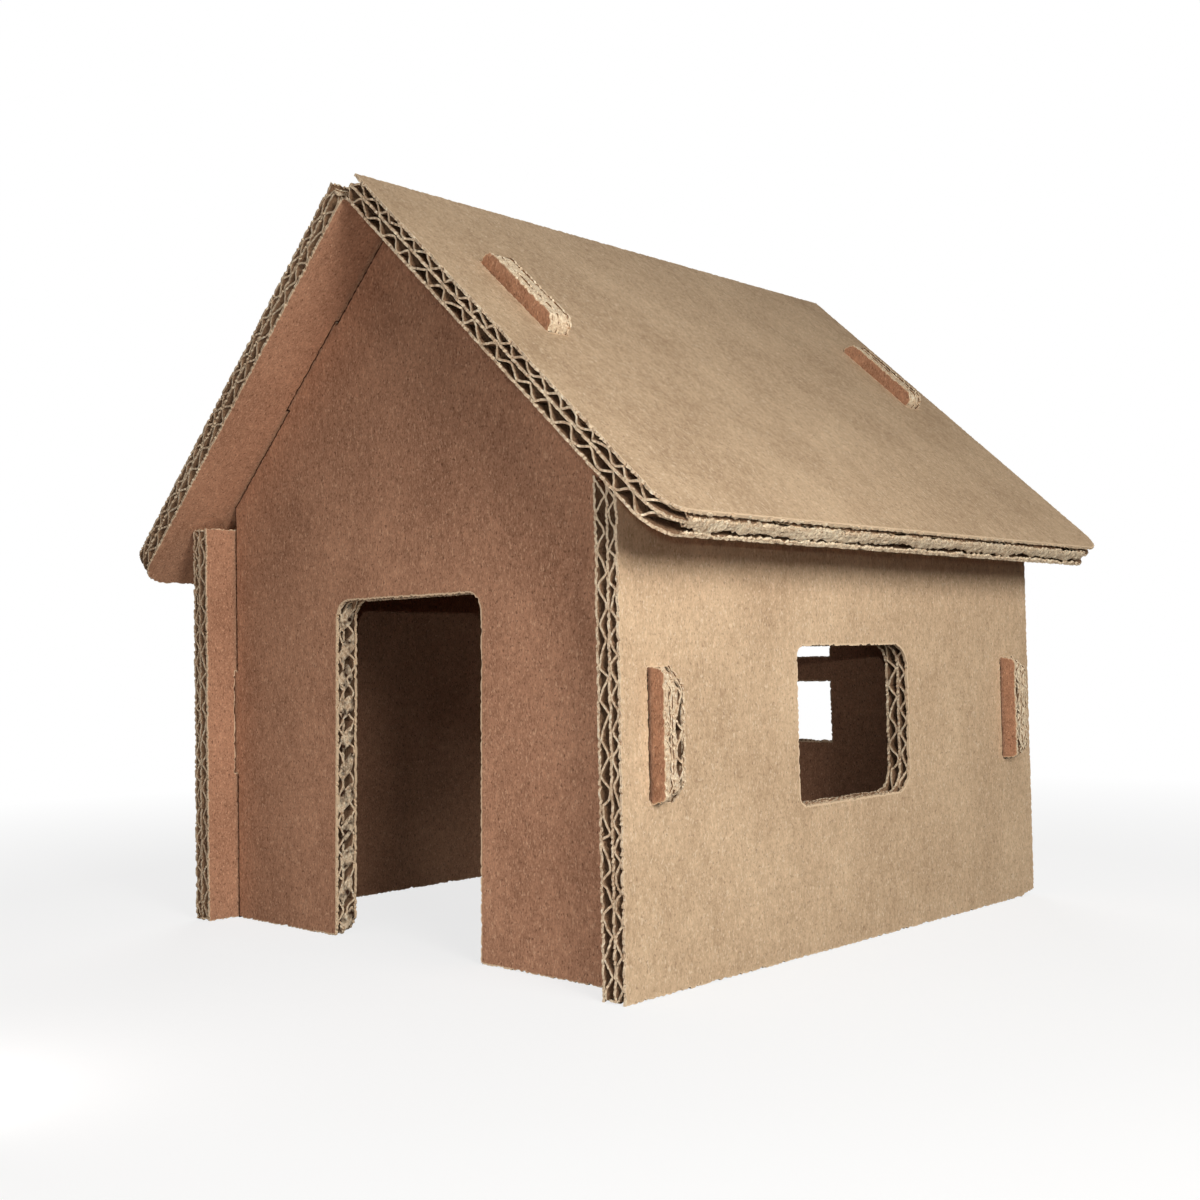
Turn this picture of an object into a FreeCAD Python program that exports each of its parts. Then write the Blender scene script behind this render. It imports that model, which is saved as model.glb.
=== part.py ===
"""Toy house of six flat sheets of double-wall corrugated board, slotted together.

Units are millimetres. The origin is on the ground at the middle of the plan:
+X is to the right seen from the door, +Y runs from the door to the back, +Z is up.
Each sheet is drawn flat, cut from a fluted blank, and then stood in its place:
flat x runs along the flutes, flat y across them, flat z out of the outer face.
"""
import FreeCAD, Part
import math
import os

from FreeCAD import Vector

# ---------------------------------------------------------------- board
liner = 0.35             # each of the three flat papers
medium = 0.3             # each of the two fluted papers
c_flute_height = 3.35    # the deep flute, on the inner side
c_flute_pitch = 8.1
b_flute_height = 2.6     # the shallow flute, on the outer side
b_flute_pitch = 6.6
board = 3 * liner + c_flute_height + b_flute_height

# ---------------------------------------------------------------- house
body_width = 172.0       # over the outer faces of the side walls
body_length = 188.0      # of a side wall, front to back
gable_setback = 10.0     # from a side wall's end to the gable's outer face
ridge_height = 195.0     # where the undersides of the two roof sheets meet
roof_slope = 42.5        # degrees from level
roof_run = 140.0         # a roof sheet from ridge to eave, along the slope
roof_overhang = 8.0      # of the roof past each end of the side walls
roof_corner = 8.0        # radius of a roof sheet's two corners at the eave
fit_gap = 0.2            # between any two sheets that meet

# ---------------------------------------------------------------- tabs
wall_tab_length = 31.0   # up the gable's upright edge
wall_tab_height = 58.0   # of the tab's middle above the ground
wall_tab_reach = 3.5     # past the wall's outer face
roof_tab_length = 32.0   # along the gable's sloping edge
roof_tab_place = 53.2    # from the ridge down the slope to the tab's middle
roof_tab_reach = 4.2     # past the roof's outer face
tab_corner = 3.0

# ---------------------------------------------------------------- openings
door_width = 58.8
door_height = 92.0
door_corner = 4.8
door_lean = 2.0          # how far the top stands to the right of the foot
window_width = 51.0      # in the right-hand wall
window_height = 39.6
window_sill = 37.6       # above the ground
window_offset = 2.2      # of its middle, towards the door
window_front_corner = 2.8
window_rear_corner = 6.0
pane_size = 19.4         # one of four square holes in the back gable
pane_bar = 8.7           # the strip left between two holes
pane_sill = 46.4         # above the ground
corner_snips = 2         # straight cuts that make up each round corner

# ---------------------------------------------------------------- worked out
slope = math.radians(roof_slope)
half_width = body_width / 2
half_room = half_width - board
roof_length = body_length + 2 * roof_overhang
wall_height = ridge_height - half_width * math.tan(slope) - fit_gap / math.cos(slope)
gable_place = body_length / 2 - gable_setback - board / 2   # to the middle of its board


# ---------------------------------------------------------------- flat shapes
def polygon(points):
    corners = [Vector(x, y, 0) for x, y in points]
    return Part.Face(Part.makePolygon(corners + corners[:1]))


def rectangle(x_mid, y_mid, width, height):
    x, y = width / 2, height / 2
    face = polygon([(-x, -y), (x, -y), (x, y), (-x, y)])
    face.translate(Vector(x_mid, y_mid, 0))
    return face


def rounded(x_mid, y_mid, width, height, right_radius, left_radius=None):
    """A rectangle with round corners, each cut in a few straight snips.

    The two corners on the left can have a radius of their own.
    """
    points = []
    for corner in range(4):
        across = 1 if corner in (0, 3) else -1
        up = 1 if corner in (0, 1) else -1
        radius = left_radius if left_radius and across < 0 else right_radius
        x_centre = x_mid + across * (width / 2 - radius)
        y_centre = y_mid + up * (height / 2 - radius)
        for snip in range(corner_snips + 1):
            turn = math.pi / 2 * (corner + snip / corner_snips)
            points.append((x_centre + radius * math.cos(turn),
                           y_centre + radius * math.sin(turn)))
    return polygon(points)


# ---------------------------------------------------------------- fluted board
def flute_hollows(bottom, height, pitch, y_from, y_to):
    """Outlines of the triangular hollows on both sides of one fluted paper."""
    leg = math.atan2(height, pitch / 2)
    half_across = medium / 2 / math.sin(leg)
    half_through = medium / 2 / math.cos(leg)
    top = bottom + height
    hollows = []
    for step in range(math.floor(y_from / pitch), math.ceil(y_to / pitch)):
        y = step * pitch
        under = [(y + half_across, bottom),
                 (y + pitch - half_across, bottom),
                 (y + pitch / 2, top - half_through)]
        over = [(y + pitch / 2 + half_across, top),
                (y + pitch * 3 / 2 - half_across, top),
                (y + pitch, bottom + half_through)]
        hollows += [under, over]
    return hollows


def fluted_blank(box, shallow):
    """Double-wall board, larger than box, with or without its shallow flute open."""
    margin = 2 * c_flute_pitch
    x_from, x_to = box.XMin - margin, box.XMax + margin
    y_from, y_to = box.YMin - margin, box.YMax + margin
    hollows = flute_hollows(liner, c_flute_height, c_flute_pitch, y_from, y_to)
    if shallow:
        hollows += flute_hollows(board - liner - b_flute_height, b_flute_height,
                                 b_flute_pitch, y_from, y_to)
    edge = [(y_from - margin, 0), (y_to + margin, 0),
            (y_to + margin, board), (y_from - margin, board)]
    wires = []
    for outline in [edge] + hollows:
        corners = [Vector(x_from, y, z) for y, z in outline]
        wires.append(Part.makePolygon(corners + corners[:1]))
    section = Part.makeFace(Part.makeCompound(wires), "Part::FaceMakerBullseye")
    return section.extrude(Vector(x_to - x_from, 0, 0))


def punch(shape):
    """A flat shape as a solid that reaches past both faces of the board."""
    solid = shape.extrude(Vector(0, 0, 3 * board))
    solid.translate(Vector(0, 0, -board))
    return solid


def cut_sheet(shapes, holes, shallow):
    """Cut the flat shapes, joined as one and less the holes, from a fluted blank."""
    die = punch(shapes[0])
    if len(shapes) > 1:
        die = die.fuse([punch(shape) for shape in shapes[1:]]).removeSplitter()
    die = die.cut([punch(hole) for hole in holes])
    return fluted_blank(die.BoundBox, shallow).common(die).Solids[0]


def stand(sheet, origin, flat_x, flat_y):
    """Turn a flat sheet so that its own x and y axes lie along two directions."""
    flat_z = flat_x.cross(flat_y)
    turn = FreeCAD.Matrix(flat_x.x, flat_y.x, flat_z.x, origin.x,
                          flat_x.y, flat_y.y, flat_z.y, origin.y,
                          flat_x.z, flat_y.z, flat_z.z, origin.z,
                          0, 0, 0, 1)
    placed = sheet.copy()
    placed.Placement = FreeCAD.Placement(turn)
    return placed


# ---------------------------------------------------------------- side walls
def wall_sheet(openings):
    """A side wall seen from outside, with a slot near each end for a gable's tab."""
    shape = rectangle(0, wall_height / 2, body_length, wall_height)
    slots = [rectangle(side * gable_place, wall_tab_height,
                       board + 2 * fit_gap, wall_tab_length + 2 * fit_gap)
             for side in (-1, 1)]
    return cut_sheet([shape], slots + openings, True)


def side_window():
    return rounded(-window_offset, window_sill + window_height / 2, window_width,
                   window_height, window_rear_corner, window_front_corner)


# ---------------------------------------------------------------- gables
def on_slope(shape, side):
    """Move a shape drawn beside the slope onto the gable's sloping edge.

    It is drawn with x running down the slope from the ridge and y out of the roof.
    """
    shape.rotate(Vector(0, 0, 0), Vector(0, 0, 1), -roof_slope)
    shape.translate(Vector(0, ridge_height, 0))
    if side < 0:
        shape = shape.mirror(Vector(0, 0, 0), Vector(1, 0, 0))
    return shape


def gable_tabs(side):
    """The tab that goes through the side wall and the one that goes through the roof."""
    root = board         # how far a tab's drawing runs back into the gable
    wall_end = half_width + wall_tab_reach
    wall_start = half_room - root
    wall_tab = rounded(side * (wall_start + wall_end) / 2, wall_tab_height,
                       wall_end - wall_start, wall_tab_length, tab_corner)
    roof_end = board + roof_tab_reach
    roof_tab = rounded(roof_tab_place, (roof_end - root) / 2,
                       roof_tab_length, roof_end + root, tab_corner)
    return [wall_tab, on_slope(roof_tab, side)]


def gable_sheet(openings):
    """A gable seen from outside, which fits between the walls and under the roof."""
    edge = half_room - fit_gap
    under_roof = fit_gap / math.cos(slope)
    shoulder = ridge_height - edge * math.tan(slope) - under_roof
    shape = polygon([(-edge, 0), (edge, 0), (edge, shoulder),
                     (0, ridge_height - under_roof), (-edge, shoulder)])
    return cut_sheet([shape] + gable_tabs(-1) + gable_tabs(1), openings, False)


def doorway():
    """The door runs down past the bottom edge, so only its top corners are round."""
    below = 2 * door_corner
    upright = rounded(0, (door_height - below) / 2,
                      door_width, door_height + below, door_corner)
    lean = door_lean / door_height
    return polygon([(point.X + lean * (point.Y - door_height / 2), point.Y)
                    for point in upright.OuterWire.OrderedVertexes])


def four_panes():
    step = (pane_size + pane_bar) / 2
    middle = pane_sill + pane_size + pane_bar / 2
    return [rectangle(across * step, middle + up * step, pane_size, pane_size)
            for across in (-1, 1) for up in (-1, 1)]


# ---------------------------------------------------------------- roof
def roof_sheet():
    """A roof sheet seen from outside, ridge edge near y = 0 and eave at y = roof_run."""
    middle, run = (fit_gap + roof_run) / 2, roof_run - fit_gap
    round_eave = rounded(0, middle, roof_length, run, roof_corner)
    square_ridge = rectangle(0, fit_gap + run / 4, roof_length, run / 2)
    slots = [rectangle(side * gable_place, roof_tab_place,
                       board + 2 * fit_gap, roof_tab_length + 2 * fit_gap)
             for side in (-1, 1)]
    return cut_sheet([round_eave, square_ridge], slots, True)


# ---------------------------------------------------------------- assembly
def house():
    right, back, up = Vector(1, 0, 0), Vector(0, 1, 0), Vector(0, 0, 1)
    gable_inside = gable_place - board / 2
    ridge = up * ridge_height
    eave_right = Vector(math.cos(slope), 0, -math.sin(slope))
    eave_left = Vector(-math.cos(slope), 0, -math.sin(slope))
    roof = roof_sheet()
    return {
        "right_wall": stand(wall_sheet([side_window()]), right * half_room, back, up),
        "left_wall": stand(wall_sheet([]), right * -half_room, -back, up),
        "front_gable": stand(gable_sheet([doorway()]), back * -gable_inside, right, up),
        "rear_gable": stand(gable_sheet(four_panes()), back * gable_inside, -right, up),
        "right_roof": stand(roof, ridge, -back, eave_right),
        "left_roof": stand(roof, ridge, back, eave_left),
    }


os.makedirs("parts", exist_ok=True)
for name, sheet in house().items():
    sheet.exportStep("parts/" + name + ".step")
    box = sheet.BoundBox
    print(f"{name}: {len(sheet.Solids)} solid, {sheet.Volume / 1000:.1f} cm3, "
          f"{box.XLength:.1f} x {box.YLength:.1f} x {box.ZLength:.1f} mm")
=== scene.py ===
# %% [markdown]
# # A toy house of corrugated board
# The house is six flat sheets of brown double-wall board. Tabs on the two gables
# go through slots in the side walls and the roof, and nothing is glued.
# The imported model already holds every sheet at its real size, so this lesson only
# gives the sheets their looks. It starts by loading that model, because each
# place and length below is then read from it or worked out from it.

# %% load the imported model
import bisect
import bpy
import math
import random
from mathutils import Matrix, Vector, geometry, noise


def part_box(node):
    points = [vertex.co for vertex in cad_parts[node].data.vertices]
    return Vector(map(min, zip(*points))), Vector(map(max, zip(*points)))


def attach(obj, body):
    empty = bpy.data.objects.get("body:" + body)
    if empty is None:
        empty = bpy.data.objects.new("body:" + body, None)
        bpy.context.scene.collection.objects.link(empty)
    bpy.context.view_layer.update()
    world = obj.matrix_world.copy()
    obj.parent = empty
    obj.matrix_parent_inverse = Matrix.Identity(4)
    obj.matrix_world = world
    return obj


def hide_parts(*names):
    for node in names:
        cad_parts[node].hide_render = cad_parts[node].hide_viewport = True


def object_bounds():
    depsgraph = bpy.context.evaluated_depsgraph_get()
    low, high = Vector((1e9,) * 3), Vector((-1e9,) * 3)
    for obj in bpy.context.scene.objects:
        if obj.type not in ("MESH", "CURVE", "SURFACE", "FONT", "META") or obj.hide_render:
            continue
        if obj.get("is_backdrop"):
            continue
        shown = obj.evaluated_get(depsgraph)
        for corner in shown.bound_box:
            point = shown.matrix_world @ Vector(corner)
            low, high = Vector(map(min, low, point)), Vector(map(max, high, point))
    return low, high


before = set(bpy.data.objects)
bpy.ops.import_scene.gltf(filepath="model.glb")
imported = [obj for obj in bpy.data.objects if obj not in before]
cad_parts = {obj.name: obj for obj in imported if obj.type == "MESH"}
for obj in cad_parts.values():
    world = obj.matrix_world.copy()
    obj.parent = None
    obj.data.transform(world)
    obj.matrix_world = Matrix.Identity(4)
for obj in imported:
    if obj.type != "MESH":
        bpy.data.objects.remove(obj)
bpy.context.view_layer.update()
mm = 0.001


def in_mm(*lengths):
    """Lengths in millimetres, for printing."""
    return [round(length / mm, 1) for length in lengths]


print("sheets:", ", ".join(sorted(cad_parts)))

# %% [markdown]
# ## The camera
# The view is from a small child's eye at the table, close to the corner of the
# house, looking up by about two degrees. A camera can be aimed with a Track To
# constraint, but that can't hold a small tilt of the horizon, so the camera's
# three directions are worked out and put in its matrix.

# %% place the camera
eye = Vector((301.1, -328.5, 75.8)) * mm
turn, look_up, tilt = (math.radians(angle) for angle in (43.226, 2.193, -1.05))
ahead = Vector((-math.sin(turn) * math.cos(look_up), math.cos(turn) * math.cos(look_up),
                math.sin(look_up)))
level_right = ahead.cross(Vector((0, 0, 1))).normalized()
level_up = level_right.cross(ahead)
right = math.cos(tilt) * level_right + math.sin(tilt) * level_up
up = math.cos(tilt) * level_up - math.sin(tilt) * level_right


def new_object(name, data):
    """A new object in the scene."""
    made = bpy.data.objects.new(name, data)
    bpy.context.scene.collection.objects.link(made)
    return made


camera = new_object("camera", bpy.data.cameras.new("camera"))
bpy.context.scene.camera = camera
camera.data.lens = 43.85
camera.data.clip_start = 10 * mm
camera.matrix_world = Matrix.Translation(eye) @ Matrix((right, up, -ahead)).transposed().to_4x4()
print("camera at", in_mm(*eye), "lens", round(camera.data.lens, 2))

# %% [markdown]
# ## The board
# Double-wall board is five papers: three flat liners with two fluted papers glued
# between them. The deep flute is on the inner side of every sheet and the shallow
# one on the outer side. At a cut edge all five papers show. A flat picture of
# flutes could be put on each edge, but light has to fall into the real hollows,
# so every paper is made as thin geometry.
# Each sheet is drawn flat: x along the flutes, y across them, z out of the house.

# %% measures of the board and the house
wall_low, wall_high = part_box("right_wall")
gable_low, gable_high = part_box("rear_gable")
roof_low, roof_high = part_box("right_roof")

board = wall_high.x - wall_low.x
liner = 0.55 * mm         # a flat paper, thickened by the blade at its cuts
medium = 0.42 * mm        # a fluted paper
deep_pitch, shallow_pitch = 8.1 * mm, 6.6 * mm
middle_liner_low = 3.6 * mm       # underside of the middle flat paper

half_width = wall_high.x
half_room = wall_low.x
wall_height = wall_high.z
wall_length = wall_high.y - wall_low.y
roof_length = roof_high.y - roof_low.y
gable_inside = gable_low.y
gable_middle = (gable_low.y + gable_high.y) / 2
slope = math.radians(42.5)
roof_run = 140 * mm
fit_gap = 0.2 * mm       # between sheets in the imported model
open_joint = 0.4 * mm    # where a gable's edge only stands against a wall or a roof
ridge_height = wall_height + half_width * math.tan(slope) + fit_gap / math.cos(slope)
print("board and ridge in mm:", in_mm(board, ridge_height))

# %% [markdown]
# ## Flat outlines
# A sheet's outline is a list of corners, each with its radius: (x, y, radius).
# Outer outlines run anticlockwise and holes clockwise, so the board is always on
# the left of the line. That one rule later tells every edge which way is inwards.

# %% turn corners into a line with round stretches
def rounded(corners):
    """The outline as points, with an arc at each corner that has a radius."""
    line = []
    count = len(corners)
    for index, (x, y, radius) in enumerate(corners):
        here = Vector((x, y))
        if radius == 0:
            line.append(here)
            continue
        back = (Vector(corners[index - 1][:2]) - here).normalized()
        on = (Vector(corners[(index + 1) % count][:2]) - here).normalized()
        half_angle = back.angle(on) / 2
        centre = here + (back + on).normalized() * radius / math.sin(half_angle)
        start = here + back * radius / math.tan(half_angle) - centre
        sweep = math.pi - 2 * half_angle
        side = 1 if (-back).cross(on) > 0 else -1
        steps = 8
        for step in range(steps + 1):
            line.append(centre + Matrix.Rotation(side * sweep * step / steps, 2) @ start)
    return line


def slot_in(x_mid, y_mid, width, height, left_radius=0.0, right_radius=0.0):
    """The corners of a clockwise hole, given by its middle and its size."""
    x, y = width / 2, height / 2
    return [(x_mid - x, y_mid - y, left_radius), (x_mid - x, y_mid + y, left_radius),
            (x_mid + x, y_mid + y, right_radius), (x_mid + x, y_mid - y, right_radius)]


print("points with one round corner:", len(rounded([(0, 0, 1), (9, 0, 0), (0, 9, 0)])))

# %% outline of a side wall
tab_height = 58 * mm      # middle of a wall tab above the ground
tab_length = 31 * mm
wall_slot_width = board + 0.5 * mm            # loose, so a dark line shows beside the tab
wall_slot_length = tab_length - 1.0 * mm      # tight, so none shows at its ends


def wall_outlines(holes):
    """The outline of a side wall, its two slots and its other holes."""
    x, y = wall_length / 2, wall_height
    edge = [(-x, 0, 0), (x, 0, 0), (x, y, 0), (-x, y, 0)]
    slots = [slot_in(side * gable_middle, tab_height, wall_slot_width, wall_slot_length)
             for side in (-1, 1)]
    return [edge] + slots + holes


window_middle, window_size = (-2.2 * mm, 57.4 * mm), (51 * mm, 39.6 * mm)
window = slot_in(*window_middle, *window_size, left_radius=2.8 * mm, right_radius=6 * mm)
print("wall in mm:", in_mm(wall_length, wall_height))

# %% outline of a roof sheet
roof_tab_place = 53.2 * mm    # from the ridge down the slope
roof_tab_length = 32 * mm
roof_slot_width = board - 0.3 * mm              # pressed against the tab on all sides
roof_slot_length = roof_tab_length - 0.4 * mm
eave_corner = 8 * mm


def roof_outlines():
    """The outline of a roof sheet and its two slots."""
    x = roof_length / 2
    edge = [(-x, fit_gap, 0), (x, fit_gap, 0),
            (x, roof_run, eave_corner), (-x, roof_run, eave_corner)]
    slots = [slot_in(side * gable_middle, roof_tab_place, roof_slot_width, roof_slot_length)
             for side in (-1, 1)]
    return [edge] + slots


print("roof sheet in mm:", in_mm(roof_length, roof_run))

# %% outline of a gable
wall_tab_reach = gable_high.x
roof_tab_reach = board + 4.2 * mm
roof_tab_corner, wall_tab_corner = 3.4 * mm, 2.2 * mm
tab_neck = 0.3 * mm       # a wall tab starts to narrow so far outside the wall


def beside_slope(down, out, side):
    """A point so far down the slope from the ridge and so far out of the roof."""
    return (side * (down * math.cos(slope) + out * math.sin(slope)),
            ridge_height - down * math.sin(slope) + out * math.cos(slope))


def gable_side(side, reach, slant):
    """Corners of one side, from the ground to the ridge. The wall tab narrows by slant."""
    edge = half_room - open_joint
    low, high = tab_height - tab_length / 2, tab_height + tab_length / 2
    near, far = roof_tab_place - roof_tab_length / 2, roof_tab_place + roof_tab_length / 2
    shoulder = ridge_height - edge * math.tan(slope) - open_joint / math.cos(slope)
    neck = half_width + tab_neck
    return [(side * edge, 0, 0), (side * edge, low, 0),
            (side * neck, low, 0), (side * reach, low + slant, wall_tab_corner),
            (side * reach, high - slant, wall_tab_corner), (side * neck, high, 0),
            (side * edge, high, 0), (side * edge, shoulder, 0),
            (*beside_slope(far, -open_joint, side), 0),
            (*beside_slope(far, roof_tab_reach, side), roof_tab_corner),
            (*beside_slope(near, roof_tab_reach, side), roof_tab_corner),
            (*beside_slope(near, -open_joint, side), 0)]


def gable_outlines(door, holes, reach, slant):
    """A gable's outline, with its door cut into the foot, and its other holes."""
    top = [(0, ridge_height - open_joint / math.cos(slope), 0)]
    return [gable_side(1, reach, slant) + top + gable_side(-1, reach, slant)[::-1] + door] + holes


door_width, door_height = 58.8 * mm, 92 * mm
door_lean = 2 / 92                # to the right, for each unit of height
door_corner, foot_corner = 4.8 * mm, 0.9 * mm
door = []
for side, height, radius in ((-1, 0, foot_corner), (-1, door_height, door_corner),
                             (1, door_height, door_corner), (1, 0, foot_corner)):
    shift = door_lean * (height - door_height / 2)
    door.append((side * door_width / 2 + shift, height, radius))
pane, pane_bar, pane_sill = 19.4 * mm, 8.7 * mm, 46.4 * mm
pane_step = (pane + pane_bar) / 2
panes_middle = pane_sill + pane / 2 + pane_step
panes = [slot_in(across * pane_step, panes_middle + rise * pane_step, pane, pane)
         for across in (-1, 1) for rise in (-1, 1)]
print("door in mm:", in_mm(door_width, door_height), "and", len(panes), "panes:", in_mm(pane))

# %% [markdown]
# ## Rough cut edges
# A blade or a die never leaves paper with a clean edge: the fibres stand out like
# the teeth of a fine saw, and here and there a bite is missing. A displacement
# texture would need a very fine mesh all over the sheet, so only the outline
# itself gets many points, each moved inwards by a small uneven amount. Nothing
# moves outwards, so the sheet stays as large as it was measured.

# %% roughen an outline
rim_depth = 0.9 * mm      # width of the worn rim along every cut
tooth_step = 0.6 * mm     # between two points of a rough cut
deepest_bite = 0.85       # of the rim's width


def inward(before, after):
    """The direction into the board beside an outline that runs from before to after."""
    along = (after - before).normalized()
    return Vector((-along.y, along.x))


def set_back(line, depth):
    """The outline moved into the board by one depth all round."""
    moved = []
    for index, here in enumerate(line):
        one = inward(line[index - 1], here)
        two = inward(here, line[(index + 1) % len(line)])
        moved.append(here + (one + two) * depth / (1 + one.dot(two)))
    return moved


def uneven(spot, grain, seed):
    """Noise from -1 to 1 that changes over the length of one grain."""
    return noise.noise(Vector((*(spot / grain), seed)))


def rough_cut(line, seed):
    """Pairs of points all along an outline: one on the rough cut, one behind the rim."""
    chance = random.Random(seed)
    behind = set_back(line, rim_depth)
    pairs = []
    for index, here in enumerate(line):
        then = (index + 1) % len(line)
        pieces = max(1, round((line[then] - here).length / tooth_step))
        for piece in range(pieces):
            spot = here.lerp(line[then], piece / pieces)
            back = behind[index].lerp(behind[then], piece / pieces)
            waver = uneven(spot, 5 * mm, seed)
            bite = max(0, uneven(spot, 2.2 * mm, seed + 7.5) - 0.4)
            share = 0.1 + 0.1 * waver + 0.6 * chance.random() ** 2 + 0.6 * bite
            pairs.append((spot.lerp(back, min(deepest_bite, share)), back))
    return pairs


print("the window's cut has", len(rough_cut(rounded(window), seed=0)), "points")

# %% [markdown]
# ## One flat paper
# A liner is its rough outline, filled, with a little thickness. Blender can fill
# an outline with holes by tessellate_polygon, which gives triangles and no stray
# faces. A narrow rim is left between the fill and the cut. There the paper swells
# into the hollows, as it does where a blade has pushed through it, and a wear
# value rises from nothing at the fill to what its kind of cut asks for: one gives
# the usual pale rim, more a wider one, and less than zero painted shade, a dark
# line that stands in for the shadow in a joint.

# %% collect the parts of a sheet
FACE, BACK, CUT, INSIDE = 0, 1, 2, 3      # the finishes of a sheet, in the order of its slots


class Sheet:
    """Collects the points and faces of one sheet while it lies flat."""

    def __init__(self):
        self.points, self.wear, self.faces, self.finishes = [], [], [], []

    def add(self, points, wear, faces, finishes):
        first = len(self.points)
        self.points += points
        self.wear += wear
        self.faces += [tuple(first + corner for corner in face) for face in faces]
        self.finishes += finishes


print("finishes of a sheet:", FACE, "to", INSIDE)

# %% build a liner
usual_rim = 1.0


def worn_alike(point):
    """The wear at the cut of a paper that is worn alike all round."""
    return usual_rim


def add_liner(sheet, outlines, low, high, swell_low, swell_high, finish_low, finish_high, seed,
              wear_at=worn_alike):
    """Add a flat paper between two heights. Its rim swells by so much on each side."""
    chance = random.Random(seed)
    loops = [rough_cut(rounded(corners), seed + 31 * number)
             for number, corners in enumerate(outlines)]
    cut = [pair[0] for loop in loops for pair in loop]
    back = [pair[1] for loop in loops for pair in loop]
    count = len(cut)
    points = [(p.x, p.y, high) for p in back]
    points += [(p.x, p.y, high + swell_high * chance.uniform(0.3, 1)) for p in cut]
    points += [(p.x, p.y, low - swell_low * chance.uniform(0.3, 1)) for p in cut]
    points += [(p.x, p.y, low) for p in back]
    rim_wear = [wear_at(p) for p in cut]
    wear = [0.0] * count + rim_wear * 2 + [0.0] * count
    faces, finishes = [], []
    fill = geometry.tessellate_polygon([[Vector((p.x, p.y, 0)) for cut_at, p in loop]
                                        for loop in loops])
    for a, b, c in fill:
        if (back[b] - back[a]).cross(back[c] - back[a]) < 0:
            a, c = c, a
        faces += [(a, b, c), (3 * count + c, 3 * count + b, 3 * count + a)]
        finishes += [finish_high, finish_low]
    start = 0
    for loop in loops:
        for step in range(len(loop)):
            this, then = start + step, start + (step + 1) % len(loop)
            for ring, finish in ((0, finish_high), (1, CUT), (2, finish_low)):
                upper, lower = ring * count, (ring + 1) * count
                faces.append((lower + this, lower + then, upper + then, upper + this))
                finishes.append(finish)
        start += len(loop)
    sheet.add(points, wear, faces, finishes)


sample = Sheet()
add_liner(sample, [window[::-1]], 0, liner, 0, 0, FACE, BACK, seed=0)
print("faces of a liner as large as the window:", len(sample.faces))

# %% [markdown]
# ## A fluted paper
# Seen from its cut end a fluted paper is a wave. In a real sheet no two waves are
# alike: crests wander, flanks bulge, and some are crushed by the blade. The wave
# is therefore drawn through crests that are each moved a little, and then carried
# along the flutes to wherever the outline says the board ends.

# %% draw one uneven wave
wave_steps = 8            # from one crest to the next


def wave(low, high, pitch, low_at, y_from, y_to, seed):
    """Points (y, z) of a fluted paper's middle, which is low at y = low_at."""
    chance = random.Random(seed)
    crests = []
    number = 2 * math.floor((y_from - low_at) / pitch) - 2
    while low_at + number * pitch / 2 < y_to + pitch:
        height = high if number % 2 else low
        slack = chance.uniform(0, 0.2) * (high - low) * (1 if number % 2 == 0 else -1)
        place = number / 2 + chance.uniform(-0.14, 0.14)
        crests.append((low_at + place * pitch, height + slack))
        number += 1
    line = []
    for (y0, z0), (y1, z1) in zip(crests, crests[1:]):
        bulge = chance.uniform(-0.24, 0.24) * (high - low)
        lean = chance.uniform(-0.1, 0.1)
        for step in range(wave_steps):
            part = step / wave_steps
            rise = 0.35 * part + 0.65 * (0.5 - 0.5 * math.cos(math.pi * part))
            rise += lean * math.sin(2 * math.pi * part)
            height = z0 + (z1 - z0) * rise + bulge * math.sin(math.pi * part)
            line.append((y0 + (y1 - y0) * part, min(high, max(low, height))))
    return line


def height_on(line, y):
    """Height of the wave at y, between its two nearest points."""
    after = bisect.bisect(line, (y,))
    if after == 0 or after == len(line):
        return line[min(after, len(line) - 1)][1]
    (y0, z0), (y1, z1) = line[after - 1], line[after]
    return z0 + (z1 - z0) * (y - y0) / (y1 - y0)


print("a flute is drawn in", 2 * wave_steps, "steps")

# %% where a line across the flutes lies inside the outline
def spans(lines, y):
    """Pairs of x between which the board is whole at this y."""
    crossings = []
    for line in lines:
        for here, after in zip(line, line[1:] + line[:1]):
            if (here.y <= y) != (after.y <= y):
                crossings.append(here.x + (y - here.y) / (after.y - here.y) * (after.x - here.x))
    crossings.sort()
    return list(zip(crossings[::2], crossings[1::2]))


wall_lines = [rounded(corners) for corners in wall_outlines([window])]
print("at its tabs a wall is whole in", len(spans(wall_lines, tab_height)), "stretches")

# %% skin a paper on both sides
def add_strip(sheet, rows, wear, finish=INSIDE):
    """Skin a paper given as rows of (upper, lower) points, and close its rim all round."""
    wide = len(rows[0])
    points = [point for row in rows for pair in row for point in pair]
    wear = [value for row in wear for value in row for skin in (0, 1)]

    def at(row, place, skin):
        return (row * wide + place) * 2 + skin

    faces, finishes = [], []
    last_row, last_place = len(rows) - 1, wide - 1
    for row in range(last_row):
        for place in range(last_place):
            upper = [at(row, place, 0), at(row, place + 1, 0),
                     at(row + 1, place + 1, 0), at(row + 1, place, 0)]
            faces += [tuple(upper), tuple(corner + 1 for corner in reversed(upper))]
            finishes += [finish, finish]
        faces.append((at(row, 0, 0), at(row + 1, 0, 0), at(row + 1, 0, 1), at(row, 0, 1)))
        faces.append((at(row, last_place, 1), at(row + 1, last_place, 1),
                      at(row + 1, last_place, 0), at(row, last_place, 0)))
        finishes += [CUT, CUT]
    for place in range(last_place):
        faces.append((at(0, place, 0), at(0, place, 1), at(0, place + 1, 1), at(0, place + 1, 0)))
        faces.append((at(last_row, place + 1, 0), at(last_row, place + 1, 1),
                      at(last_row, place, 1), at(last_row, place, 0)))
        finishes += [CUT, CUT]
    sheet.add(points, wear, faces, finishes)


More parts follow.
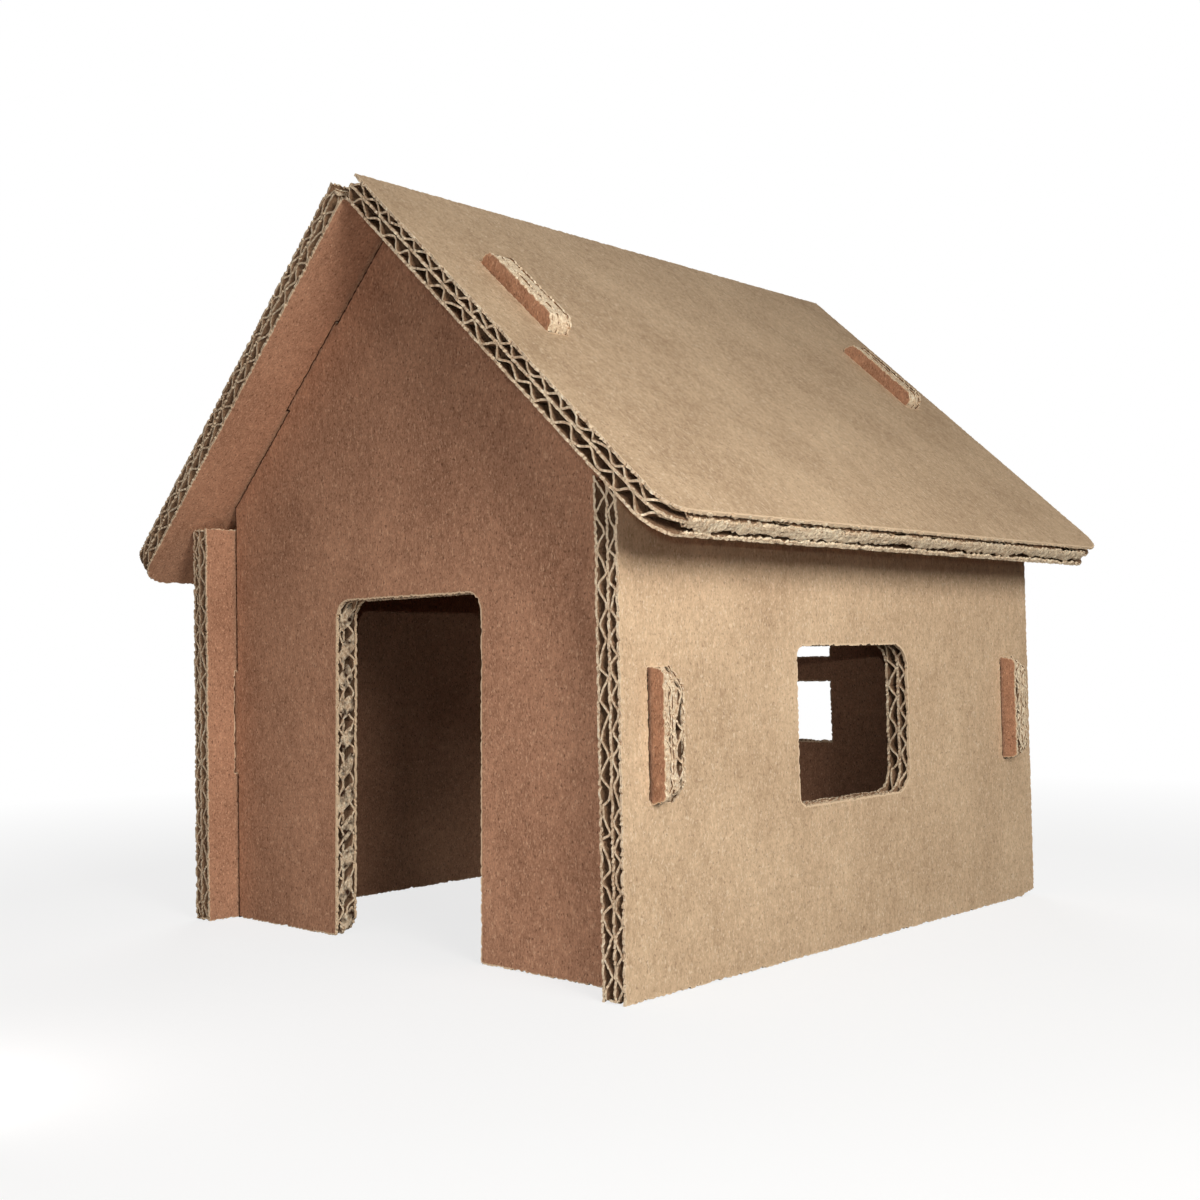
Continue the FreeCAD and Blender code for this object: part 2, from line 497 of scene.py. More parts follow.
# %% where a fluted paper lies
torn_depth = 2.0 * mm     # how far a tear along the flutes wanders into the board
end_depth = 0.2 * mm      # how far the ends of the flutes stand back from the cut
worn_end = 1.2 * mm       # how much of each end is crushed and worn


def paper_at(line, x, y, thickness=medium):
    """The upper and the lower point of the fluted paper at one place."""
    reach = 0.05 * mm
    fall = (height_on(line, y + reach) - height_on(line, y - reach)) / (2 * reach)
    normal = Vector((0, -fall, 1)).normalized()
    middle = Vector((x, y, height_on(line, y)))
    return middle + normal * thickness / 2, middle - normal * thickness / 2


def unbroken(lines, line):
    """Stretches of the wave where every flute runs from one cut to the next."""
    y_low, y_high = min(p.y for p in lines[0]), max(p.y for p in lines[0])
    levels = {round(y, 7) for y, z in line if y_low < y < y_high}
    levels |= {round(point.y, 7) for one in lines for point in one}
    levels = sorted(levels)
    near = 1e-6
    stretches = []
    for y0, y1 in zip(levels, levels[1:]):
        for first, last in zip(spans(lines, y0 + near / 20), spans(lines, y1 - near / 20)):
            for stretch in stretches:
                y, a, b = stretch[-1]
                if y == y0 and abs(a - first[0]) < near and abs(b - first[1]) < near:
                    stretch.append((y1, *last))
                    break
            else:
                stretches.append([(y0, *first), (y1, *last)])
    return stretches


print("stretches of a wall:", len(unbroken(wall_lines, [])))

# %% build a fluted paper
def add_fluting(sheet, outlines, line, seed):
    """Carry a wave along the flutes, up to every edge of the board."""
    lines = [set_back(rounded(corners), torn_depth) for corners in outlines]
    for stretch in unbroken(lines, line):
        rows, wear = [], []
        for y, a, b in stretch:
            fray = [0.5 * mm * abs(noise.noise(Vector((y / (1.1 * mm), side, seed))))
                    for side in (3.1, 8.7)]
            a += fray[0] + end_depth - torn_depth
            b -= fray[1] + end_depth - torn_depth
            crush = 0.3 * mm * noise.noise(Vector((y / (3 * mm), a / mm, seed)))
            if b - a < 4 * worn_end:
                places, thick = (a, b), (1.25, 1.25)
            else:
                places, thick = (a, a + worn_end, b - worn_end, b), (1.3, 0.9, 0.9, 1.3)
            rows.append([paper_at(line, x, y, medium * share)
                         for x, share in zip(places, thick)])
            for end in (0, -1):
                rows[-1][end] = tuple(point + Vector((0, crush, 0)) for point in rows[-1][end])
            wear.append([1.0 if x in (a, b) else 0.0 for x in places])
        short = min(len(row) for row in rows)
        if short == 2:
            rows, wear = [[row[0], row[-1]] for row in rows], [[1.0, 1.0] for row in rows]
        add_strip(sheet, rows, wear)
    for corners in outlines:
        for here, after in lengthwise(rounded(corners)):
            add_torn_rim(sheet, here, after, line, seed)


# %% tear a fluted paper along a flute
def lengthwise(outline):
    """The stretches of an outline that run along the flutes."""
    for here, after in zip(outline, outline[1:] + outline[:1]):
        if abs(here.y - after.y) < 1e-6 and abs(here.x - after.x) > 4 * mm:
            yield here, after


def add_torn_rim(sheet, here, after, line, seed):
    """Finish a fluted paper where the cut runs along a flute and tears it."""
    step, trim, across = 0.9 * mm, 0.3 * mm, 4
    into = inward(here, after).y
    x_from, x_to = min(here.x, after.x) + trim, max(here.x, after.x) - trim
    count = round((x_to - x_from) / step)
    rows = [[] for _ in range(across)]
    chance = random.Random(seed + round(here.y / mm))
    for number in range(count + 1):
        x = x_from + (x_to - x_from) * number / count
        slow = noise.noise(Vector((x / (9 * mm), here.y / mm, seed + 0.5)))
        quick = noise.noise(Vector((x / (2 * mm), here.y / mm, seed + 4.5)))
        end = 0.45 + 0.6 * slow + 0.35 * quick + chance.uniform(-0.12, 0.12)
        end = torn_depth * min(0.95, max(0.3, end))
        for row in range(across):
            back = torn_depth + (end - torn_depth) * row / (across - 1)
            rows[row].append(paper_at(line, x, here.y + into * back))
    wear = [[row / 8] * (count + 1) for row in range(across)]
    if into > 0:
        rows, wear = rows[::-1], wear[::-1]
    add_strip(sheet, rows, wear)


print("flutes run along", len(list(lengthwise(rounded(window)))), "sides of the window")

# %% [markdown]
# ## Bands of torn paper
# Where the cut runs along the flutes, and on the small tabs, the papers are
# crushed against each other and the cut shows as bands of torn, pale fibre with
# dark slits between them. A band follows the cut, lies a little behind it, and
# its two borders wander.

# %% build a torn band
def along(path, step):
    """Evenly spaced points of an open path, each with the direction into the board."""
    spots = []
    for here, after in zip(path, path[1:]):
        pieces = max(1, round((after - here).length / step))
        spots += [(here.lerp(after, piece / pieces), inward(here, after))
                  for piece in range(pieces)]
    spots.append((path[-1], spots[-1][1]))
    return spots


def add_torn_band(sheet, path, borders, seed, depth=0.2 * mm, worn=usual_rim, lean=0.0,
                  pace=4 * mm, bristle=0.0):
    """A band of torn paper with wandering borders.

    The borders are their low and high heights and how far each wanders, all in mm.
    With a lean it is a leaf, pointed at both ends and lying aslant. Bristle is how
    far loose fibres stand out of its borders.
    """
    low, high, wander_low, wander_high = (number * mm for number in borders)

    def wander(spot, seed):
        return uneven(spot, pace, seed) * 1.6 + 0.4 * uneven(spot, 0.9 * mm, seed)

    spots = along(path, 0.7 * mm)
    across = 6
    rows, wear = [[] for _ in range(across)], [[worn] * len(spots) for _ in range(across)]
    for number, (spot, into) in enumerate(spots):
        z0 = low + wander_low * wander(spot, seed)
        z1 = high + wander_high * wander(spot, seed + 5)
        z0 += bristle * noise.noise(Vector((0.83 * number, seed, 0.5)))
        z1 += bristle * noise.noise(Vector((0.83 * number, seed + 9, 0.5)))
        z0 = min(max(0.15 * mm, z0), board - 0.5 * mm)
        z1 = max(min(board - 0.15 * mm, z1), z0 + 0.15 * mm)
        if lean:
            part = number / (len(spots) - 1)
            full = 0.1 + 0.9 * math.sin(math.pi * part)
            middle = (z0 + z1) / 2
            shift = lean * (0.5 - part) * 2
            z0, z1 = (middle + (z - middle) * full + shift for z in (z0, z1))
        for row in range(across):
            z = z0 + (z1 - z0) * row / (across - 1)
            rough = uneven(spot, 1.3 * mm, z / (1.1 * mm) + seed)
            edge = 0.15 * mm if row in (0, across - 1) else 0
            set_in = depth + (0.5 + 0.5 * rough) * 0.5 * mm + edge
            outer = spot + into * set_in
            inner = spot + into * (set_in + 0.4 * mm)
            rows[row].append((Vector((*outer, z)), Vector((*inner, z))))
    add_strip(sheet, rows, wear, CUT)


add_torn_band(sample, [Vector((0, 0)), Vector((10 * mm, 0))], (1, 3, 0.5, 0.5), seed=0)
print("with a torn band:", len(sample.faces))

# %% [markdown]
# ## Putting a sheet together
# A sheet is its three liners and two fluted papers, stacked. It then becomes one
# mesh, which is turned into its place in the house. The flat position of every
# point is kept as an attribute, so that the paper's grain can lie across the
# flutes on every sheet, as it does in real board, whichever way the sheet stands.

# %% stand a sheet up
def stand(node, sheet, origin, flat_x, flat_y, seed):
    """Make one mesh of a sheet, turned from flat into its place instead of its node."""
    mesh = bpy.data.meshes.new(node + "_board")
    mesh.from_pydata([tuple(point) for point in sheet.points], [], sheet.faces)
    mesh.polygons.foreach_set("material_index", sheet.finishes)
    grain = mesh.attributes.new("grain", "FLOAT_VECTOR", "POINT")
    offset = Vector((0.37, 0.23, 0)) * seed
    spots = [number for point in sheet.points for number in Vector(point) + offset]
    grain.data.foreach_set("vector", spots)
    # the wear value: above zero a pale worn rim, below zero painted shade
    mesh.attributes.new("wear", "FLOAT", "POINT").data.foreach_set("value", sheet.wear)
    place = Matrix((flat_x, flat_y, flat_x.cross(flat_y))).transposed().to_4x4()
    place.translation = origin
    mesh.transform(place)
    mesh.update()
    piece = new_object(node + "_board", mesh)
    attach(piece, "root")
    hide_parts(node)
    print(node, "has", len(mesh.polygons), "faces")
    return piece


# %% where the cuts get painted shade or are worn wide
# values below zero are painted shade, a dark line that stands in for the shadow at joints, slots
# and tabs
painted_joint_shade, painted_tab_shade = -1.0, -0.8
door_rim, window_rim, eave_rim = 1.7, 2.2, 3.0
painted_shade_width = 1.5 * mm


def roof_inner_wear(point):
    """Painted shade at a roof slot, where the room's shade shows."""
    in_slot = (abs(point.y - roof_tab_place) < roof_tab_length / 2 + 1 * mm
               and abs(abs(point.x) - gable_middle) < board)
    return painted_joint_shade if in_slot else usual_rim


def roof_outer_wear(point):
    """Wide along the eave, where the outer paper is frayed furthest."""
    return eave_rim if point.y > roof_run - 1 * mm else usual_rim


def wall_outer_wear(point):
    """Wide round a window, and painted shade beside the two faces of a tab."""
    if abs(point.x) < 40 * mm and 20 * mm < point.y < wall_height - 10 * mm:
        return window_rim
    beside_tab = (abs(abs(point.x) - gable_middle) < board
                  and abs(point.y - tab_height) < tab_length / 2 - 1 * mm)
    return painted_tab_shade if beside_tab else usual_rim


def gable_wear(point):
    """Painted shade in the joint with a wall or a roof, and wide round the door."""
    to_wall = half_room - abs(point.x)
    under_roof = (ridge_height - point.y) * math.cos(slope) - abs(point.x) * math.sin(slope)
    near_wall = 0 < to_wall < painted_shade_width and abs(point.y - tab_height) > tab_length / 2
    if near_wall or 0 < under_roof < painted_shade_width:
        return painted_joint_shade
    near_door = abs(point.x) < 40 * mm and point.y < door_height + 4 * mm
    return door_rim if near_door else usual_rim


print("wear runs from", painted_joint_shade, "to", eave_rim)

# %% stack the five papers
swell = 0.3 * mm      # how far a flat paper thickens at its cut
glue = 0.08 * mm      # how far the crests of a fluted paper sink into a flat one


def stack_board(outlines, outer_finish, seed, deep_low_at, shallow_low_at,
                inner=None, outer=None, inner_wear=worn_alike, outer_wear=worn_alike):
    """The papers of one sheet, lying flat. The inner and the outer ones may be worn shorter."""
    sheet = Sheet()
    inner, outer = inner or outlines, outer or outlines
    add_liner(sheet, inner, 0, liner, 0, swell, BACK, INSIDE, seed, inner_wear)
    add_liner(sheet, outlines, middle_liner_low, middle_liner_low + liner, swell / 2, swell / 2,
              INSIDE, INSIDE, seed + 1)
    add_liner(sheet, outer, board - liner, board, swell, 0, INSIDE, outer_finish, seed + 2,
              outer_wear)
    heights = [y for x, y, radius in outlines[0]]
    ends = min(heights), max(heights)
    touch = medium / 2 - glue
    deep = wave(liner + touch, middle_liner_low - touch, deep_pitch, deep_low_at,
                *ends, seed + 11)
    shallow = wave(middle_liner_low + liner + touch, board - liner - touch, shallow_pitch,
                   shallow_low_at, *ends, seed + 12)
    add_fluting(sheet, inner, deep, seed + 13)
    add_fluting(sheet, outer, shallow, seed + 14)
    return sheet


to_right, to_back, to_sky = Vector((1, 0, 0)), Vector((0, 1, 0)), Vector((0, 0, 1))
print("flat papers lie at", in_mm(0, middle_liner_low, board - liner), "mm")

# %% the two side walls
def make_wall(node, holes, origin, flat_x, seed, torn_foot=False):
    """A side wall. With a torn foot its outer paper is worn away at one lower corner."""
    outlines = wall_outlines(holes)
    outer = outlines
    if torn_foot:
        left, right, *above = outlines[0]
        x = right[0]
        torn = [(x - 8 * mm, 0, 0), (x - 6 * mm, 0.8 * mm, 0), (x, 1.3 * mm, 0)]
        outer = [[left] + torn + above] + outlines[1:]
    sheet = stack_board(outlines, FACE, seed, deep_low_at=1.5 * mm, shallow_low_at=0.5 * mm,
                        outer=outer, outer_wear=wall_outer_wear)
    for corners in [outlines[0]] + holes:
        for here, after in lengthwise(rounded(corners)):
            add_torn_band(sheet, [here, after], (2.4, 4.7, 0.9, 0.5), seed + 20)
    return stand(node, sheet, origin, flat_x, to_sky, seed)


right_wall = make_wall("right_wall", [window], to_right * half_room, to_back, 1, torn_foot=True)
left_wall = make_wall("left_wall", [], to_right * -half_room, -to_back, 2)

# %% the two gables
def tab_rims(on_roof, reach, slant):
    """The cut of the left and of the right tab, from its root round its end and back."""
    for side in (-1, 1):
        corners = gable_side(side, reach, slant)
        path = rounded(corners[8:12] if on_roof else corners[2:6])
        yield path if side > 0 else path[::-1]


def add_door_lobes(sheet, here, after, seed):
    """Flutes that the blade has folded over at the door's post, one leaf to a flute."""
    count = round((after - here).length / deep_pitch)
    for number in range(count):
        chance = random.Random(seed + number)
        first, last = chance.uniform(0, 0.14), chance.uniform(0.86, 1)
        ends = [(number + part) / count for part in (first, last)]
        lean = chance.uniform(0.8, 1.9) * mm
        borders = (chance.uniform(0.6, 1.5), chance.uniform(5.0, 6.2), 0.5, 0.6)
        # a wear value below zero paints shade in patches on the leaves, standing in for the
        # shading inside the hollows
        add_torn_band(sheet, [here.lerp(after, end) for end in ends], borders, seed + number,
                      depth=0.02 * mm, worn=-0.36, lean=lean)


# how far the inner, middle and outer papers of a wall tab narrow
tab_slants = {"front_gable": (4.6 * mm, 2.4 * mm, 0.6 * mm),
              "rear_gable": (0.6 * mm, 2.0 * mm, 3.6 * mm)}
post_setback = 1.1 * mm       # of the middle paper, at the door's left post
inner_foot_corner = 6 * mm    # of the inner paper, at the foot of that post


def make_gable(node, door_corners, holes, origin, flat_x, seed, reach):
    """A gable. At the door's left post its papers end at places of their own."""
    inner_slant, middle_slant, outer_slant = tab_slants[node]
    middle_door, inner_door = door_corners, door_corners
    if door_corners:
        foot, head, *rest = door_corners
        inner_door = [(*foot[:2], inner_foot_corner), head] + rest
        middle_door = [(x - post_setback, y, radius) for x, y, radius in (foot, head)] + rest
    sheet = stack_board(gable_outlines(middle_door, holes, reach, middle_slant), BACK, seed,
                        deep_low_at=2.0 * mm, shallow_low_at=1.0 * mm,
                        inner=gable_outlines(inner_door, holes, reach, inner_slant),
                        outer=gable_outlines(door_corners, holes, reach, outer_slant),
                        inner_wear=gable_wear, outer_wear=gable_wear)
    for here, after in zip(door_corners[::2], door_corners[1::2]):
        add_door_lobes(sheet, Vector(here[:2]), Vector(after[:2]), seed + 60)
    # on a roof tab or not, the tab's slant, and the band's borders
    bands = ((False, outer_slant, 4.95, 6.8, 0.35, 0.1),
             (False, middle_slant, 2.4, 4.6, 1.0, 0.3),
             (False, inner_slant, 0.2, 0.9, 0.1, 0.5),
             (True, outer_slant, 0.15, 6.1, 0.0, 0.4))
    for number, (on_roof, slant, *borders) in enumerate(bands):
        for path in tab_rims(on_roof, reach, slant):
            add_torn_band(sheet, path, borders, seed + 40 + number)
    return stand(node, sheet, origin, flat_x, to_sky, seed)


front_gable = make_gable("front_gable", door, [], to_back * -gable_inside, to_right, 3,
                         wall_tab_reach + 0.9 * mm)
rear_gable = make_gable("rear_gable", [], panes, to_back * gable_inside, -to_right, 4,
                        wall_tab_reach + 1.2 * mm)

# %% the two roof sheets
def make_roof(node, flat_x, side, seed):
    """A roof sheet. Each of its three flat papers shows as a torn band along the eave."""
    outlines = roof_outlines()
    sheet = stack_board(outlines, FACE, seed, deep_low_at=roof_run + 1.7 * mm,
                        shallow_low_at=roof_run + 0.3 * mm,
                        inner_wear=roof_inner_wear, outer_wear=roof_outer_wear)
    x = roof_length / 2
    eave_end = x - 1.1 * eave_corner
    eave = [Vector((eave_end, roof_run)), Vector((-eave_end, roof_run))]
    eave_bands = ((0.15, 1.0, 0.0, 0.2), (1.9, 4.9, 0.9, 0.25), (6.1, 6.85, 0.25, 0.0))
    for number, borders in enumerate(eave_bands):
        add_torn_band(sheet, eave, borders, seed + 20 + 3 * number, 0.05 * mm, pace=8 * mm,
                      bristle=0.8 * mm)
    top = [Vector((-x, fit_gap)), Vector((x, fit_gap))]
    add_torn_band(sheet, top, (2.6, 4.6, 0.7, 0.5), seed + 21)
    down = Vector((side * math.cos(slope), 0, -math.sin(slope)))
    return stand(node, sheet, to_sky * ridge_height, flat_x, down, seed)


right_roof = make_roof("right_roof", -to_back, 1, 5)
left_roof = make_roof("left_roof", to_back, -1, 6)
sheets = [right_wall, left_wall, front_gable, rear_gable, right_roof, left_roof]

# %% [markdown]
# ## Shared effects for paper
# Brown paper is a mat of fibres. Three effects make it up: fine streaks that run
# across the flutes, flecks of darker and lighter fibre, and slow clouds of tone.
# Every paper needs them at its own strengths, so they are one node group with
# named inputs, placed in each material with its own values.

# %% helpers for node groups
def new_group(name, values, outputs):
    """A node group that takes a position and some values, with its two end nodes."""
    group = bpy.data.node_groups.new(name, "ShaderNodeTree")
    sockets = group.interface
    sockets.new_socket("Position", in_out="INPUT", socket_type="NodeSocketVector")
    for label, value in values.items():
        socket = sockets.new_socket(label, in_out="INPUT", socket_type="NodeSocketFloat")
        socket.default_value = value
    for label in outputs:
        sockets.new_socket(label, in_out="OUTPUT", socket_type="NodeSocketFloat")
    return group, group.nodes.new("NodeGroupInput"), group.nodes.new("NodeGroupOutput")


def feed(tree, node, inputs):
    """Give inputs of a node their constants, or links from other sockets."""
    for label, value in inputs.items():
        if isinstance(value, bpy.types.NodeSocket):
            tree.links.new(value, node.inputs[label])
        else:
            node.inputs[label].default_value = value


def math_node(tree, operation, a, b=None, c=None, clamp=False):
    """A Math node whose inputs are numbers or sockets."""
    node = tree.nodes.new("ShaderNodeMath")
    node.operation = operation
    node.use_clamp = clamp
    feed(tree, node, {place: value for place, value in enumerate((a, b, c))
                      if value is not None})
    return node.outputs[0]


def stretched_noise(tree, position, scales, detail=2.0, roughness=0.5):
    """Noise whose grains are long in one direction: scales are grains per metre."""
    mapping = tree.nodes.new("ShaderNodeMapping")
    feed(tree, mapping, {"Vector": position, "Scale": scales})
    grain = tree.nodes.new("ShaderNodeTexNoise")
    feed(tree, grain, {"Vector": mapping.outputs[0], "Scale": 1.0, "Detail": detail,
                       "Roughness": roughness})
    return grain.outputs["Fac"]


def band(tree, value, low, high, to_low=0.0, to_high=1.0):
    """Stretch one range of a value over another, and cut off what lies outside."""
    node = tree.nodes.new("ShaderNodeMapRange")
    feed(tree, node, {"Value": value, "From Min": low, "From Max": high,
                      "To Min": to_low, "To Max": to_high})
    return node.outputs["Result"]


def new_material(name):
    """A new material, its node tree and its surface node."""
    material = bpy.data.materials.new(name)
    material.use_nodes = True
    return material, material.node_tree, material.node_tree.nodes["Principled BSDF"]


# %% the paper fibre group
def make_fibre_group():
    """Streaks, flecks and clouds, each with a strength of its own."""
    group, given, result = new_group(
        "Paper fibres", {"Streaks": 1.0, "Flecks": 1.0, "Clouds": 1.0},
        ("Tone", "Pale flecks", "Dark flecks", "Height"))
    place = given.outputs["Position"]

    def centred(scales, detail, strength):
        value = stretched_noise(group, place, scales, detail, 0.6)
        return math_node(group, "MULTIPLY", math_node(group, "SUBTRACT", value, 0.5), strength)

    def scaled(value, label):
        return math_node(group, "MULTIPLY", value, given.outputs[label])

    short = centred((2700, 1500, 1800), 3, 1.75)
    long = centred((1100, 300, 900), 2, 0.6)
    mottle = centred((560, 400, 500), 3, 1.05)
    clouds = centred((42, 30, 40), 3, 1.1)
    fine = scaled(math_node(group, "ADD", short, long), "Streaks")
    slow = scaled(math_node(group, "ADD", mottle, clouds), "Clouds")
    tone = math_node(group, "ADD", math_node(group, "ADD", fine, slow), 0.5, clamp=True)
    pale = band(group, stretched_noise(group, place, (2000, 1000, 1500), 1), 0.60, 0.72)
    dark = band(group, stretched_noise(group, place, (1600, 1000, 1300), 1), 0.62, 0.72)
    pale, dark = scaled(pale, "Flecks"), scaled(dark, "Flecks")
    height = math_node(group, "MULTIPLY_ADD", pale, 0.5, fine)
    feed(group, result, {"Tone": tone, "Pale flecks": pale, "Dark flecks": dark,
                         "Height": height})
    return group


fibre_group = make_fibre_group()
print("group", fibre_group.name, "has", len(fibre_group.nodes), "nodes")

# %% [markdown]
# ## Worn rims
# Next to a cut the surface of the paper is broken and its paler inside shows, in
# a line that comes and goes. The wear value that the rims carry says how near the
# cut a point is. A little noise moves the border to and fro, so the pale line is
# uneven. It is a node group too, because every paper has cut rims.

# %% the worn rim group
def make_rim_group():
    """Masks of the pale rim at a cut, and of painted shade where the wear value is below zero."""
    group, given, result = new_group("Worn rim", {"Wear and shade": 0.0, "Reach": 0.5},
                                     ("Mask", "Shade"))
    waver = stretched_noise(group, given.outputs["Position"], (420, 420, 420), 2)
    border = math_node(group, "MULTIPLY_ADD", waver, 0.7, given.outputs["Wear and shade"])
    border = math_node(group, "ADD", border, given.outputs["Reach"])
    mask = band(group, border, 1.35, 1.7)
    # the second mask is painted shade, where the wear value is below zero
    shade = math_node(group, "MULTIPLY_ADD", waver, 0.9, given.outputs["Wear and shade"])
    shade = band(group, shade, 0.15, -0.05)
    feed(group, result, {"Mask": mask, "Shade": shade})
    return group


rim_group = make_rim_group()
print("group", rim_group.name, "has", len(rim_group.nodes), "nodes")

# %% [markdown]
# ## The paper finishes
# The outer faces of the walls and the roof are smooth tan liner with pale and dark
# fibres. The gables and all the inner faces are a redder brown liner, whose redness
# and darkness are partly painted warm shade, as these faces stand in shade. Cut and
# torn paper is the paler, rougher inside of the same papers, and the fluted papers are
# a duller brown. The roof's liner is the walls' paper painted a little darker, which
# is painted shade. One function makes all five, because only their colours and the
# strengths of the effects differ.

# %% colours and how they are mixed
def linear(red, green, blue):
    """A colour picked on a screen, as the light values a shader needs."""
    return tuple(((c + 0.055) / 1.055) ** 2.4 if c > 0.04045 else c / 12.92
                 for c in (red, green, blue)) + (1.0,)


def mix_colour(tree, amount, first, second):
    """A Mix node whose colours are values or sockets."""
    node = tree.nodes.new("ShaderNodeMix")
    node.data_type = "RGBA"
    feed(tree, node, {0: amount, 6: first, 7: second})
    return node.outputs[2]


torn_colour = linear(0.90, 0.79, 0.66)
# painted shade: the colour laid at joints, slots, tabs and on the door's leaves
painted_shade_colour = linear(0.23, 0.145, 0.095)
print("torn paper:", [round(c, 2) for c in torn_colour])

# %% make a paper finish
def paper(name, colours, strengths, rim_reach=0.5, roughness=0.85, bump=0.4):
    """A paper whose colour runs between dark and light, with two colours of fleck.

    The strengths are those of the streaks, the flecks and the clouds.
    """
    dark, light, pale_fibre, dark_fibre = (linear(*colour) for colour in colours)
    material, tree, surface = new_material(name)
    grain, wear = (tree.nodes.new("ShaderNodeAttribute") for _ in range(2))
    grain.attribute_name, wear.attribute_name = "grain", "wear"
    fibres, rim = (tree.nodes.new("ShaderNodeGroup") for _ in range(2))
    fibres.node_tree, rim.node_tree = fibre_group, rim_group
    place = grain.outputs["Vector"]
    streaks, flecks, clouds = strengths
    feed(tree, fibres, {"Position": place, "Streaks": streaks, "Flecks": flecks,
                        "Clouds": clouds})
    feed(tree, rim, {"Position": place, "Wear and shade": wear.outputs["Fac"], "Reach": rim_reach})
    colour = mix_colour(tree, fibres.outputs["Tone"], dark, light)
    # the pale and dark flecks, then the pale worn rim, then painted shade
    for effect, label, other in ((fibres, "Pale flecks", pale_fibre),
                                 (fibres, "Dark flecks", dark_fibre),
                                 (rim, "Mask", torn_colour), (rim, "Shade", painted_shade_colour)):
        colour = mix_colour(tree, effect.outputs[label], colour, other)
    gloss = band(tree, fibres.outputs["Tone"], 0.2, 0.8, roughness + 0.05, roughness - 0.05)
    relief = tree.nodes.new("ShaderNodeBump")
    feed(tree, relief, {"Height": fibres.outputs["Height"], "Strength": bump,
                        "Distance": 0.1 * mm})
    feed(tree, surface, {"Base Color": colour, "Roughness": gloss,
                         "Normal": relief.outputs["Normal"], "Specular IOR Level": 0.2})
    return material


# %% the five papers
wall_tan = paper(
    "tan liner", ((0.69, 0.568, 0.45), (0.92, 0.80, 0.662),
                  (0.95, 0.87, 0.76), (0.55, 0.42, 0.335)), (0.68, 0.5, 0.8))
# the walls' paper, painted a little darker: painted shade, so the roof comes out darker than the
# wall
roof_tan_painted_shade = paper(
    "roof liner with painted shade", ((0.648, 0.534, 0.422), (0.868, 0.755, 0.624),
                   (0.92, 0.84, 0.73), (0.53, 0.40, 0.32)), (0.68, 0.5, 0.8))
# redder and darker than the tan, partly painted warm shade on the gables and inner faces, which
# stand in shade
brown_with_painted_shade = paper(
    "brown liner", ((0.56, 0.40, 0.308), (0.83, 0.63, 0.505),
                    (0.88, 0.71, 0.585), (0.42, 0.285, 0.22)), (0.85, 0.7, 0.8))
cut_paper = paper(
    "cut paper", ((0.74, 0.61, 0.49), (1.0, 0.93, 0.81),
                  (1.0, 0.97, 0.89), (0.52, 0.40, 0.30)), (1.3, 0.6, 1.0),
    rim_reach=0.0, roughness=0.95, bump=0.9)
fluting = paper(
    "fluting paper", ((0.44, 0.335, 0.25), (0.67, 0.53, 0.415),
                      (0.76, 0.64, 0.51), (0.34, 0.25, 0.18)), (1.0, 0.6, 0.9),
    rim_reach=0.1, roughness=0.9)
for piece in sheets:
    face = roof_tan_painted_shade if piece in (right_roof, left_roof) else wall_tan
    for finish in (face, brown_with_painted_shade, cut_paper, fluting):
        piece.data.materials.append(finish)
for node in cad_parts.values():
    for place in node.material_slots:
        place.material = brown_with_painted_shade
print("a wall's finishes:", [finish.name for finish in right_wall.data.materials])

# %% [markdown]
# ## Floor and light
# The house stands on a plain pale floor. A large main lamp and a smaller side lamp
# stand on the right, so the roof and the long wall are bright. The gable with the
# door stays in half shade, lit softly by two weak lamps near the floor. A tiny lamp
# looks in through the door and the window, and one behind lights the far sides.
# The world is white to the camera, and the floor fades into it far from the house.

